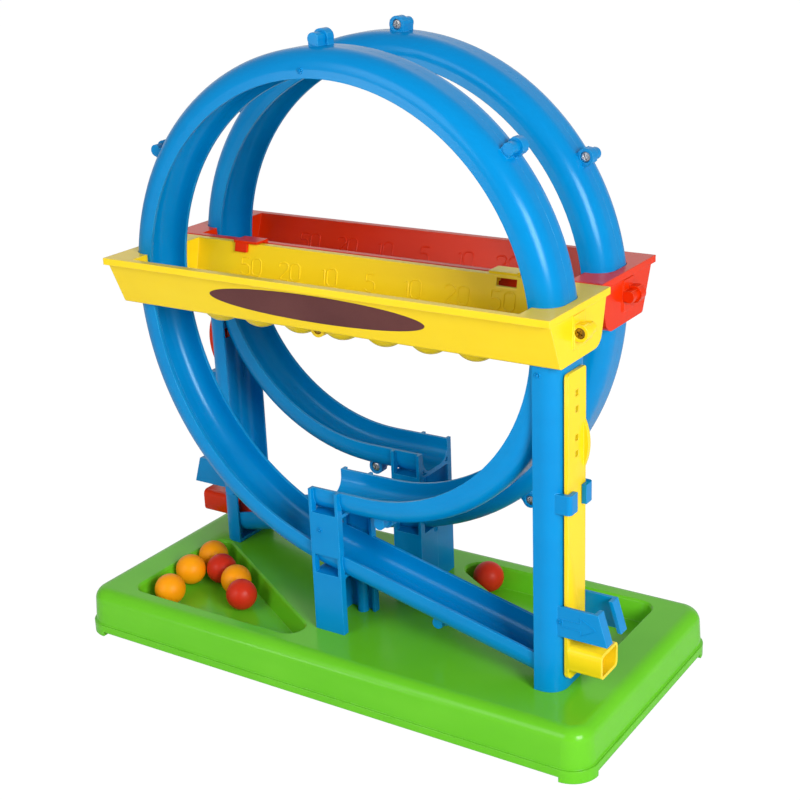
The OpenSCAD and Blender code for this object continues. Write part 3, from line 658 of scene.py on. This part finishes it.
def point_mesh(name: str, points: Sequence[Tuple[Vector, Vector, float]]) -> Mesh:
    """Makes the points on which a tree sets its shapes.

    Args:
        name: The mesh's name.
        points: Place, axis and turn about the axis of each point.

    Returns:
        The mesh, with its axis and turn attributes.
    """
    mesh = bpy.data.meshes.new(name)
    mesh.from_pydata([place for place, _, _ in points], [], [])
    mesh.attributes.new("axis", "FLOAT_VECTOR", "POINT")
    mesh.attributes.new("turn", "FLOAT", "POINT")
    for i, (_, direction, angle) in enumerate(points):
        mesh.attributes["axis"].data[i].vector = direction
        mesh.attributes["turn"].data[i].value = angle
    return mesh


def line_mesh(name: str, lines: Sequence[Line]) -> Mesh:
    """Makes a flat drawing of lines.

    Args:
        name: The mesh's name.
        lines: The points of each line, and whether it closes.

    Returns:
        The mesh of edges in the plane z = 0.
    """
    places: List[Place] = []
    edges: List[Tuple[int, int]] = []
    for points, closed in lines:
        first = len(places)
        places += [(x, y, 0.0) for x, y in points]
        edges += [(first + i, first + i + 1) for i in range(len(points) - 1)]
        if closed:
            edges.append((first + len(points) - 1, first))
    mesh = bpy.data.meshes.new(name)
    mesh.from_pydata(places, edges, [])
    return mesh


def merged_copy(node: str) -> BMesh:
    """Copies a CAD node's triangles and merges their corners."""
    copy = bmesh.new()
    copy.from_mesh(frame["nodes"][node].data)
    bmesh.ops.remove_doubles(copy, verts=copy.verts, dist=SAME_POINT)
    return copy


def islands(copy: BMesh) -> List[List[Vector]]:
    """Splits a mesh into its separate solids.

    Args:
        copy: A merged mesh.

    Returns:
        The corner points of each solid.
    """
    left = set(copy.verts)
    found = []
    while left:
        edge = [left.pop()]
        points = []
        while edge:
            vertex = edge.pop()
            points.append(vertex.co.copy())
            for link in vertex.link_edges:
                other = link.other_vert(vertex)
                if other in left:
                    left.remove(other)
                    edge.append(other)
        found.append(points)
    return found


def span(points: Sequence[Vector]) -> Tuple[Vector, Vector]:
    """The lowest and the highest corner of the box round some points."""
    return tuple(Vector(end(p[k] for p in points) for k in range(3)) for end in (min, max))


def dress(node: str, finish: MouldedPlastic) -> None:
    """Gives a CAD node its finish."""
    piece = frame["nodes"][node]
    if not piece.material_slots:
        piece.data.materials.append(None)
    for slot in piece.material_slots:
        slot.material = finish.material()
    log.info("%s: %s", node, finish.name)


def settle(piece: Object, body: str, slot: Optional[str], *nodes: str) -> None:
    """Makes a finished piece ride on its body.

    Args:
        piece: The piece, with its place in its mesh.
        body: The body it moves with.
        slot: The record's material slot, if it has one; not used.
        *nodes: The CAD nodes that it stands for.
    """
    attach(piece, body)
    if nodes:
        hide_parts(*nodes)
    log.info("%s rides on %s, %d faces", piece.name, body, len(piece.data.polygons))


@dataclass
class Screws:
    """One group of identical screws.

    Attributes:
        node: The CAD node that holds the group.
        heads: The way the heads look.
        finish: Their plating.
        head_radius: Radius of a head.
        head_height: Height of a head.
        shank_radius: Outer radius of the thread.
        recess_width: Width of the cross recess's arms.
        recess_depth: Depth of the cross recess.
        turns: Turn of the first screw, and how much further each next one is turned.
    """

    node: str
    heads: Vector
    finish: ZincSteel = STEEL
    head_radius: float = 2.8 * MM
    head_height: float = 2.0 * MM
    shank_radius: float = 1.3 * MM
    recess_width: float = 0.75 * MM
    recess_depth: float = 1.1 * MM
    turns: Point = (0.4, 1.9)

    def build(self, shop: Workshop) -> None:
        """Sets a detailed screw where each CAD screw is."""
        solids = islands(merged_copy(self.node))
        solids.sort(key=lambda solid: tuple(round(v, 5) for v in span(solid)[0]))
        points = []
        length = 0.0
        for i, solid in enumerate(solids):
            reach = [p.dot(self.heads) for p in solid]
            low, high = span(solid)
            middle = (low + high) / 2
            seat = middle + self.heads * (max(reach) - self.head_height - middle.dot(self.heads))
            length = max(reach) - min(reach) - self.head_height
            points.append((seat, self.heads, self.turns[0] + self.turns[1] * i))
        piece = shop.screws.grow(
            f"{self.node}_zinc", point_mesh(self.node, points), self.finish.material(),
            Head_Radius=self.head_radius, Head_Height=self.head_height,
            Shank_Radius=self.shank_radius, Shank_Length=length,
            Recess_Width=self.recess_width, Recess_Depth=self.recess_depth)
        piece.data.set_sharp_from_angle(angle=CREASE)
        settle(piece, "frame", self.finish.slot, self.node)


@dataclass
class Ball:
    """One hollow plastic ball.

    Attributes:
        node: The CAD node and body of the ball.
        skin: Its finish.
        tilt: The way its seam's axis points.
        seam_height: How far the seam stands out.
        seam_width: Half the seam's width.
        spin: How far it is turned about that axis.
    """

    node: str
    skin: BallPlastic
    tilt: Vector
    seam_height: float = 0.06 * MM
    seam_width: float = 0.3 * MM
    spin: float = 0.3

    def build(self, shop: Workshop) -> None:
        """Makes the ball in the CAD ball's place."""
        low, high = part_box(self.node)
        radius = (high.z - low.z) / 2
        seed = point_mesh(self.node, [((low + high) / 2, self.tilt.normalized(), self.spin)])
        piece = shop.balls.grow(
            f"{self.node}_skin", seed, self.skin.material(),
            Radius=radius - self.seam_height, Seam_Height=self.seam_height, Seam_Width=self.seam_width)
        settle(piece, self.node, self.skin.slot, self.node)


@dataclass
class Base:
    """The green base with its two ball recesses.

    Attributes:
        node: Its CAD node.
        finish: Its plastic.
    """

    node: str = "base"
    finish: MouldedPlastic = GREEN

    def build(self) -> None:
        """Dresses the base."""
        dress(self.node, self.finish)


@dataclass
class Track:
    """One player's looped track, in four blue half-shells.

    Attributes:
        player: Whose track it is.
        parts: The half-shells.
    """

    player: Player
    parts: Sequence[str] = ("track_outer", "track_inner", "arch_outer", "arch_inner")

    def build(self) -> None:
        """Dresses the four half-shells."""
        for part in self.parts:
            dress(self.player.node(part), BLUE)


@dataclass
class Post:
    """One player's lever post, with the pull arrow on its outer guard.

    Attributes:
        player: Whose post it is.
        face: Distance of the guard's outer face from the middle of the game.
        tail: Where the arrow starts along X.
        neck: Where its head starts.
        tip: Where it ends.
        middle: Height of its middle.
        shaft: Half the shaft's height.
        head: Half the head's height.
        bead: Half the width of its raised line.
        rise: How far the line stands out.
        corner: Radius of its corners.
    """

    player: Player
    face: float = 50.5 * MM
    tail: float = 147.6 * MM
    neck: float = 158.4 * MM
    tip: float = 167.9 * MM
    middle: float = 73.4 * MM
    shaft: float = 2.4 * MM
    head: float = 5.5 * MM
    bead: float = 0.42 * MM
    rise: float = 0.3 * MM
    corner: float = 0.3 * MM

    def outline(self) -> List[Point]:
        """The arrow's corners, seen from the front."""
        half = [(self.tail, self.shaft), (self.neck, self.shaft), (self.neck, self.head)]
        lower = [(x, self.middle - y) for x, y in half]
        upper = [(x, self.middle + y) for x, y in reversed(half)]
        return [*lower, (self.tip, self.middle), *upper]

    def build(self, shop: Workshop) -> None:
        """Dresses the post and raises the arrow on its guard."""
        dress(self.player.node("post"), BLUE)
        upright = Matrix.Translation((0.0, -self.face, 0.0)) @ Matrix.Rotation(math.pi / 2, 4, "X")
        arrow = shop.beads.grow(
            f"{self.player.value}_pull_arrow", line_mesh("arrow", [(self.outline(), True)]),
            BLUE.relief().material(), Half_Width=self.bead, Rise=self.rise, Corner_Radius=self.corner)
        arrow.data.transform(self.player.turn() @ upright)
        settle(arrow, "frame", BLUE.slot)


@dataclass
class GateMarks:
    """The marks that the moulding gates left on one player's blue parts.

    Attributes:
        player: Whose parts they are.
        radius: Radius of a mark's ring.
        rim: Half the ring's width.
        rise: How far a mark stands out.
    """

    player: Player
    radius: float = 1.5 * MM
    rim: float = 0.35 * MM
    rise: float = 0.5 * MM

    def places(self) -> List[Tuple[Vector, Vector, float]]:
        """Place and axis of each mark on the front player's arch, post, guard and stand."""
        front, left = Vector((0.0, -1.0, 0.0)), Vector((-1.0, 0.0, 0.0))
        marks = [
            (Vector((-5.2, -52.4, 361.9)), front),
            (Vector((135.5, -54.1, 214.2)), front),
            (Vector((146.3, -50.5, 73.8)), front),
            (Vector((-8.9, -55.0, 96.0)), front),
            (Vector((-15.7, -34.3, 65.9)), left),
        ]
        return [(place * MM, axis, 0.0) for place, axis in marks]

    def build(self, shop: Workshop) -> None:
        """Sets the marks on their faces."""
        piece = shop.marks.grow(
            f"{self.player.value}_gate_marks", point_mesh("gates", self.places()),
            BLUE.relief().material(), Radius=self.radius, Rim=self.rim, Rise=self.rise)
        piece.data.transform(self.player.turn())
        settle(piece, "frame", BLUE.slot)


@dataclass
class Lever:
    """One player's springy lever: a single leaf, sliced into rows where the CAD arm turns.

    Attributes:
        player: Whose lever it is.
        reach: How far above and below the pivot the halves are cut and the leaf is sliced.
        slices: Rows of faces round the pivot.
        spread: The share of that reach meant for the bend; not used.
        crease: The angle from which an edge stays sharp.
    """

    player: Player
    reach: float = 9.0 * MM
    slices: int = 18
    spread: float = 0.85
    crease: float = math.radians(25)

    def build(self) -> None:
        """Joins the fixed and the moving half into one leaf, sliced into rows round the joint."""
        body = f"{self.player.value}_lever"
        spring, arm = self.player.node("lever_spring"), self.player.node("lever_arm")
        joint = next(j for j in frame["joints"] if j["child"] == body)
        pivot = Vector(joint["pos_m"])
        leaf = merged_copy(spring)
        self._cut(leaf, pivot.z + self.reach, keep_above=True)
        lower = merged_copy(arm)
        self._cut(lower, pivot.z - self.reach, keep_above=False)
        mesh = bpy.data.meshes.new("lower")
        lower.to_mesh(mesh)
        leaf.from_mesh(mesh)
        bpy.data.meshes.remove(mesh)
        rim = [e for e in leaf.edges if e.is_boundary]
        bmesh.ops.bridge_loops(leaf, edges=rim)
        for i in range(1, self.slices):
            level = pivot.z - self.reach + 2 * self.reach * i / self.slices
            bmesh.ops.bisect_plane(
                leaf, geom=[*leaf.verts, *leaf.edges, *leaf.faces], dist=ON_PLANE,
                plane_co=(0.0, 0.0, level), plane_no=(0.0, 0.0, 1.0))
        bmesh.ops.recalc_face_normals(leaf, faces=leaf.faces)
        mesh = bpy.data.meshes.new(f"{body}_leaf")
        leaf.to_mesh(mesh)
        mesh.shade_smooth()
        mesh.set_sharp_from_angle(angle=self.crease)
        mesh.materials.append(self.player.tint().material())
        piece = add_object(f"{body}_leaf", mesh)
        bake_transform(piece)
        self.player.tint().slot
        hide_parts(spring, arm)
        log.info("%s bends between frame and %s", piece.name, body)

    def _cut(self, half: BMesh, level: float, keep_above: bool) -> None:
        """Cuts one half off level and leaves a clean open end.

        Args:
            half: The half to cut.
            level: Height of the cut.
            keep_above: Whether the upper side stays.
        """
        bmesh.ops.dissolve_limit(half, angle_limit=FLAT, verts=half.verts, edges=half.edges)
        bmesh.ops.bisect_plane(
            half, geom=[*half.verts, *half.edges, *half.faces], dist=ON_PLANE,
            plane_co=(0.0, 0.0, level), plane_no=(0.0, 0.0, 1.0),
            clear_inner=keep_above, clear_outer=not keep_above)
        straight = []
        for vertex in half.verts:
            rim = [e for e in vertex.link_edges if e.is_boundary]
            if len(rim) == 2:
                first, second = (e.other_vert(vertex).co - vertex.co for e in rim)
                if first.angle(second) > STRAIGHT:
                    straight.append(vertex)
        bmesh.ops.dissolve_verts(half, verts=straight)


# Width of each figure, whether its line closes, and the line, drawn 1 high.
STROKES: Dict[str, Tuple[float, bool, Sequence[Point]]] = {
    "0": (0.66, True, [(0.0, 0.16), (0.0, 0.84), (0.16, 1.0), (0.5, 1.0), (0.66, 0.84), (0.66, 0.16),
                       (0.5, 0.0), (0.16, 0.0)]),
    "1": (0.22, False, [(0.0, 0.8), (0.2, 1.0), (0.2, 0.0)]),
    "2": (0.66, False, [(0.0, 0.74), (0.02, 0.9), (0.2, 1.0), (0.46, 1.0), (0.64, 0.88), (0.64, 0.66),
                        (0.0, 0.0), (0.66, 0.0)]),
    "5": (0.66, False, [(0.62, 1.0), (0.06, 1.0), (0.02, 0.54), (0.24, 0.62), (0.46, 0.6), (0.64, 0.46),
                        (0.64, 0.16), (0.46, 0.0), (0.18, 0.0), (0.0, 0.14)]),
}


@dataclass
class Tray:
    """One player's scoring tray, with raised score numbers on both long walls.

    Attributes:
        player: Whose tray it is.
        scores: The number over each cup.
        pitch: Distance between the cups.
        centre: Middle of the tray along X.
        top: Height of the rim.
        rear_face: From the middle of the game to the rear wall's inner face at the rim.
        rear_lean: How that face leans.
        front_face: The same for the front wall's inner face.
        front_lean: How that face leans.
        front_skin: The same for the front wall's outer face.
        skin_lean: How that face leans.
        low: Height of the numbers' feet.
        tall: Height of a number along the wall.
        gap: Gap between two figures.
        bead: Half the width of their raised line.
        rise: How far the line stands out.
        corner: Radius of its corners.
    """

    player: Player
    scores: Sequence[str] = ("50", "20", "10", "5", "10", "20", "50")
    pitch: float = 29.0 * MM
    centre: float = 2.8 * MM
    top: float = 249.453 * MM
    rear_face: float = 4.984 * MM
    rear_lean: float = math.radians(12.6)
    front_face: float = 65.498 * MM
    front_lean: float = math.radians(20.84)
    front_skin: float = 68.9 * MM
    skin_lean: float = math.radians(23)
    low: float = 231.0 * MM
    tall: float = 10.3 * MM
    gap: float = 1.7 * MM
    bead: float = 0.5 * MM
    rise: float = 0.35 * MM
    corner: float = 0.9 * MM

    def figures(self) -> Mesh:
        """Draws the row of numbers, upright in the plane z = 0 and centred on x = 0."""
        lines = []
        for i, score in enumerate(self.scores):
            wide = sum(STROKES[d][0] for d in score) * self.tall + self.gap * (len(score) - 1)
            x = (i - (len(self.scores) - 1) / 2) * self.pitch - wide / 2
            for digit in score:
                share, closed, points = STROKES[digit]
                lines.append(([(x + px * self.tall, py * self.tall) for px, py in points], closed))
                x += share * self.tall + self.gap
        return line_mesh("figures", lines)

    def wall(self, rear: bool) -> Matrix:
        """The plane of a long wall's inner face, with its origin at the numbers' feet.

        Args:
            rear: Whether it is the wall next to the middle of the game.

        Returns:
            The matrix that takes the drawing's plane there.
        """
        lean = self.rear_lean if rear else self.front_lean
        depth = (self.top - self.low) * math.tan(lean)
        y = -self.rear_face - depth if rear else -self.front_face + depth
        side = 1.0 if rear else -1.0
        across = Vector((side, 0.0, 0.0))
        up = Vector((0.0, side * math.sin(lean), math.cos(lean)))
        return axes((self.centre, y, self.low), across, up, across.cross(up))

    def build(self, shop: Workshop) -> None:
        """Dresses the halves and raises the numbers on their walls."""
        finish = self.player.tint()
        for part in ("tray_outer", "tray_inner"):
            dress(self.player.node(part), finish)
        for rear in (True, False):
            side = "inner" if rear else "outer"
            numbers = shop.beads.grow(
                f"{self.player.value}_{side}_scores", self.figures(), finish.relief().material(),
                Half_Width=self.bead, Rise=self.rise, Corner_Radius=self.corner)
            numbers.data.transform(self.player.turn() @ self.wall(rear))
            settle(numbers, "frame", finish.slot)


@dataclass
class Label:
    """The blank oval film on the front tray's outer wall.

    Attributes:
        tray: The tray that carries it.
        half_long: Half its length.
        half_tall: Half its height along the wall.
        middle: Middle along X.
        level: Height of its middle.
        thick: Thickness of the film.
        steps: Corners round the edge.
        profile: Share of the outline and of the thickness in each row, from inside the wall out.
    """

    tray: Tray
    half_long: float = 72.6 * MM
    half_tall: float = 9.7 * MM
    middle: float = 1.1 * MM
    level: float = 234.5 * MM
    thick: float = 0.14 * MM
    steps: int = 144
    profile: Sequence[Point] = (
        (1.0, -0.6), (1.0, 0.4), (0.998, 0.75), (0.994, 0.95), (0.985, 1.0), (0.6, 1.0))

    def build(self) -> None:
        """Makes the film, thinner towards its edge, and lays it on the wall."""
        film = bmesh.new()
        rows = []
        for share, height in self.profile:
            row = []
            inset = (1 - share) * self.half_tall * 2
            for i in range(self.steps):
                a = 2 * math.pi * i / self.steps
                x = (self.half_long - inset) * math.cos(a)
                y = (self.half_tall - inset) * math.sin(a)
                row.append(film.verts.new((x, y, height * self.thick)))
            rows.append(row)
        for low, high in zip(rows, rows[1:]):
            for i in range(self.steps):
                j = (i + 1) % self.steps
                film.faces.new((low[i], low[j], high[j], high[i]))
        film.faces.new(rows[-1])
        film.faces.new(list(reversed(rows[0])))
        mesh = bpy.data.meshes.new("oval_film")
        film.to_mesh(mesh)
        mesh.shade_smooth()
        mesh.set_sharp_from_angle(angle=CREASE)
        mesh.materials.append(FILM.material())
        lean = self.tray.skin_lean
        y = -self.tray.front_skin + (self.tray.top - self.level) * math.tan(lean)
        up = Vector((0.0, -math.sin(lean), math.cos(lean)))
        out = Vector((0.0, -math.cos(lean), -math.sin(lean)))
        mesh.transform(axes((self.middle, y, self.level), Vector((1.0, 0.0, 0.0)), up, out))
        piece = add_object("oval_film", mesh)
        settle(piece, "frame", None)


@dataclass(frozen=True)
class Lamp:
    """A square soft lamp.

    Attributes:
        name: The lamp's name.
        place: Where it hangs.
        size: Its side.
        power: Its power in watts.
        aim: The point it looks at.
    """

    name: str
    place: Place
    size: float
    power: float
    aim: Place = (0.0, 0.0, 0.18)

    def build(self) -> None:
        """Hangs the lamp so that it looks at its aim."""
        data = bpy.data.lights.new(self.name, "AREA")
        data.size = self.size
        data.energy = self.power
        way = Vector(self.aim) - Vector(self.place)
        turn = way.to_track_quat("-Z", "Y").to_matrix().to_4x4()
        add_object(self.name, data).matrix_world = Matrix.Translation(self.place) @ turn


@dataclass
class Studio:
    """White floor, soft lights and the photograph's camera.

    Attributes:
        eye: The camera's place.
        azimuth: The camera's bearing, from -Y towards +X.
        elevation: How far it looks down.
        roll: How far it is turned about its own axis.
        lens: Focal length for a frame 36 mm wide.
        sky: Strength of the light from all round.
        backdrop: Strength of the light from the lit wall behind.
        behind: Where that wall stands.
        fade: Where the wall's light begins and where it is full, as cosines.
        floor_half: Half the floor's side.
        floor_drop: How far the floor lies under the feet.
        paper: How much light the floor throws back.
        glow: The floor's own light, as the camera sees it.
        glow_share: How far that light hides the shadows.
        lamps: The lamps.
    """

    eye: Vector = field(default_factory=lambda: Vector((0.4744, -0.6925, 0.4631)))
    azimuth: float = math.radians(33.56)
    elevation: float = math.radians(19.82)
    roll: float = math.radians(-2.29)
    lens: float = 67.07
    sky: float = 0.3
    backdrop: float = 0.85
    behind: Place = (-0.55, 0.83, 0.08)
    fade: Point = (0.55, 0.9)
    floor_half: float = 6.0
    floor_drop: float = 0.2 * MM
    paper: float = 0.86
    glow: float = 1.06
    glow_share: float = 0.93
    lamps: Sequence[Lamp] = (
        Lamp("key", (1.5, -0.8, 0.8), 0.7, 28.0),
        Lamp("fill", (-0.5, -1.6, 0.95), 0.9, 9.0),
        Lamp("strip", (-0.82, -1.37, 0.12), 0.3, 1.8),
    )

    def build(self) -> None:
        """Sets up the camera, the floor, the sky and the lamps."""
        self._camera()
        self._floor()
        self._sky()
        for lamp in self.lamps:
            lamp.build()
        bpy.context.scene.view_settings.view_transform = "Standard"

    def _camera(self) -> None:
        """Places the camera as the photograph was taken."""
        a, e, r = self.azimuth, self.elevation, self.roll
        back = Vector((math.sin(a) * math.cos(e), -math.cos(a) * math.cos(e), math.sin(e)))
        level = Vector((math.cos(a), math.sin(a), 0.0))
        upright = back.cross(level)
        right = math.cos(r) * level + math.sin(r) * upright
        up = -math.sin(r) * level + math.cos(r) * upright
        data = bpy.data.cameras.new("camera")
        data.lens = self.lens
        camera = add_object("camera", data)
        camera.matrix_world = axes(self.eye, right, up, back)
        bpy.context.scene.camera = camera

    def _seen(self, s: Tree) -> Value:
        """1 for the rays that show the background straight to the camera."""
        return s.value("ShaderNodeLightPath", output="Is Camera Ray")

    def _floor(self) -> None:
        """Lays a white floor that keeps a faint shadow."""
        mesh = bpy.data.meshes.new("floor")
        corners = [
            (x * self.floor_half, y * self.floor_half, -self.floor_drop)
            for x, y in ((-1, -1), (1, -1), (1, 1), (-1, 1))]
        mesh.from_pydata(corners, [], [(0, 1, 2, 3)])
        s = Surface("white_floor")
        tone = (self.paper, self.paper, self.paper, 1.0)
        paper = s.value("ShaderNodeBsdfDiffuse", {"Color": tone})
        glow = s.value("ShaderNodeEmission", {"Color": WHITE, "Strength": self.glow})
        share = self._seen(s) * self.glow_share
        mixed = s.value("ShaderNodeMixShader", {0: share, 1: paper, 2: glow})
        s.node("ShaderNodeOutputMaterial", {"Surface": mixed})
        mesh.materials.append(s.material)
        floor = add_object("floor", mesh)

    def _sky(self) -> None:
        """Makes the surroundings white to look at and soft as a light."""
        world = bpy.data.worlds.new("white_room")
        world.use_nodes = True
        s = Tree(world.node_tree)
        s.tree.nodes.clear()
        soft, white, wall = (
            s.value("ShaderNodeBackground", {"Color": WHITE, "Strength": strength})
            for strength in (self.sky, 1.0, self.backdrop))
        way = s.value("ShaderNodeTexCoord", output="Generated")
        facing = s.dot(way, self.behind).ramp(*self.fade)
        room = s.value("ShaderNodeMixShader", {0: facing, 1: soft, 2: wall})
        mixed = s.value("ShaderNodeMixShader", {0: self._seen(s), 1: room, 2: white})
        s.node("ShaderNodeOutputWorld", {"Surface": mixed})
        bpy.context.scene.world = world


def balls() -> List[Ball]:
    """The nine balls with their seams turned each a different way."""
    tilts = {
        "orange_ball_launch": (0.2, 0.9, 0.3),
        "orange_ball_front": (0.7, 0.2, 0.7),
        "orange_ball_left": (-0.3, 0.5, 0.8),
        "orange_ball_rear": (0.1, -0.8, 0.6),
        "orange_ball_right": (0.9, 0.4, -0.1),
        "red_ball_launch": (0.5, 0.5, 0.7),
        "red_ball_middle": (-0.6, 0.1, 0.8),
        "red_ball_near": (0.3, 0.9, 0.2),
        "red_ball_far": (0.8, -0.5, 0.4),
    }
    return [
        Ball(node, ORANGE_BALL if node.startswith("orange") else RED_BALL, Vector(tilt))
        for node, tilt in tilts.items()
    ]


def screw_groups() -> List[Screws]:
    """The five groups of screws and the way their heads look."""
    return [
        Screws("front_track_screws", Vector((0.0, 1.0, 0.0))),
        Screws("rear_track_screws", Vector((0.0, -1.0, 0.0))),
        Screws("front_tray_screws", Vector((0.0, -1.0, 0.0)), GOLDEN_STEEL),
        Screws("rear_tray_screws", Vector((0.0, 1.0, 0.0)), GOLDEN_STEEL),
        Screws("base_screws", Vector((0.0, 0.0, -1.0))),
    ]


def main() -> None:
    """Sets the studio and builds every sub-assembly in order."""
    logging.basicConfig(level=logging.INFO, format="%(name)s: %(message)s")
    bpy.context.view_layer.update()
    shop = Workshop()
    Studio().build()
    Base().build()
    for player in Player:
        Track(player).build()
        Post(player).build(shop)
        GateMarks(player).build(shop)
        Lever(player).build()
        Tray(player).build(shop)
    Label(Tray(Player.FRONT)).build()
    for group in screw_groups():
        group.build(shop)
    for ball in balls():
        ball.build(shop)


if __name__ == "__main__":
    main()
